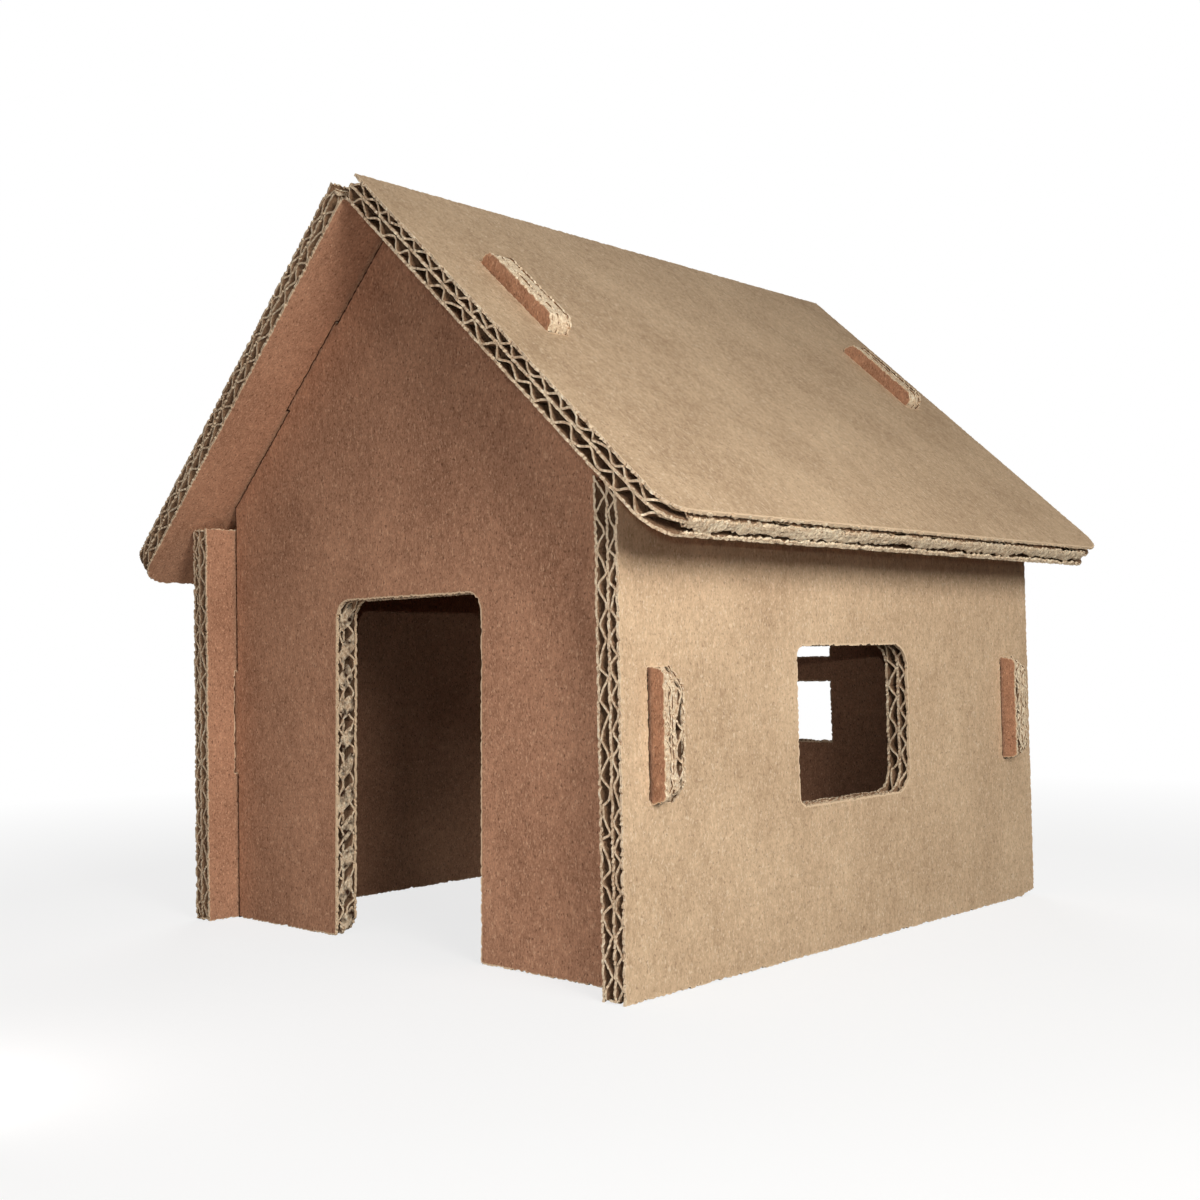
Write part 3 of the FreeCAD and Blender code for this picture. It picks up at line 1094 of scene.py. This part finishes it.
# %% floor
def make_floor():
    """A wide floor under the house, dark to the light and pale to the camera."""
    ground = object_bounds()[0].z
    mesh = bpy.data.meshes.new("floor")
    size = 8.0
    corners = ((-size, -size), (size, -size), (size, size), (-size, size))
    mesh.from_pydata([(x, y, ground) for x, y in corners], [], [(0, 1, 2, 3)])
    floor = new_object("floor", mesh)
    material, tree, surface = new_material("pale floor")
    place = tree.nodes.new("ShaderNodeTexCoord")
    away = tree.nodes.new("ShaderNodeVectorMath")
    away.operation = "LENGTH"
    feed(tree, away, {0: place.outputs["Object"]})
    far = band(tree, away.outputs["Value"], 0.2, 0.5, 0.78, 1)
    seen = tree.nodes.new("ShaderNodeLightPath")
    tone = band(tree, seen.outputs["Is Camera Ray"], 0, 1, 0.08, 0.95)
    feed(tree, surface, {"Base Color": tone, "Roughness": 0.9, "Specular IOR Level": 0.1})
    hide = math_node(tree, "MULTIPLY", far, seen.outputs["Is Camera Ray"])
    white = tree.nodes.new("ShaderNodeEmission")
    blend = tree.nodes.new("ShaderNodeMixShader")
    feed(tree, blend, {0: hide, 1: surface.outputs[0], 2: white.outputs[0]})
    feed(tree, tree.nodes["Material Output"], {"Surface": blend.outputs[0]})
    mesh.materials.append(material)
    floor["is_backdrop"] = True
    return floor


floor = make_floor()
print("floor at", in_mm(floor.bound_box[0][2]), "mm")

# %% lamps and world
lamp_target = Vector((0, 0, 0.09))


def soft_lamp(name, place, power, size, colour=(1, 1, 1)):
    """A square lamp that looks at the middle of the house."""
    light = bpy.data.lights.new(name, "AREA")
    light.energy = power
    light.size = size
    light.color = colour
    lamp = new_object(name, light)
    lamp.location = place
    aim = lamp_target - Vector(place)
    lamp.rotation_euler = aim.to_track_quat("-Z", "Y").to_euler()


soft_lamp("main lamp", (0.75, -0.16, 0.34), 2.8, 0.35, (0.97, 1.0, 0.97))
soft_lamp("side lamp", (0.415, -0.235, 0.205), 0.85, 0.12, (1.0, 0.95, 0.90))
soft_lamp("front lamp", (0.14, -0.42, 0.05), 0.185, 0.06, (1.0, 0.93, 0.88))
soft_lamp("low lamp", (0.03, -0.24, 0.015), 0.078, 0.04, (1.0, 0.94, 0.91))
soft_lamp("near lamp", (0.303, -0.332, 0.094), 0.13, 0.003, (0.96, 1.0, 0.96))
soft_lamp("back lamp", (-0.6, 0.6, 0.6), 4.0, 0.5)

world = bpy.data.worlds.new("studio")
bpy.context.scene.world = world
world.use_nodes = True
tree = world.node_tree
backdrop = tree.nodes["Background"]
seen = tree.nodes.new("ShaderNodeLightPath")
room_light, white = (0.055, 0.045, 0.042, 1.0), (1.0, 1.0, 1.0, 1.0)
glow = mix_colour(tree, seen.outputs["Is Camera Ray"], room_light, white)
feed(tree, backdrop, {"Color": glow})
bpy.context.scene.view_settings.view_transform = "Standard"
print("lamps:", len(bpy.data.lights))
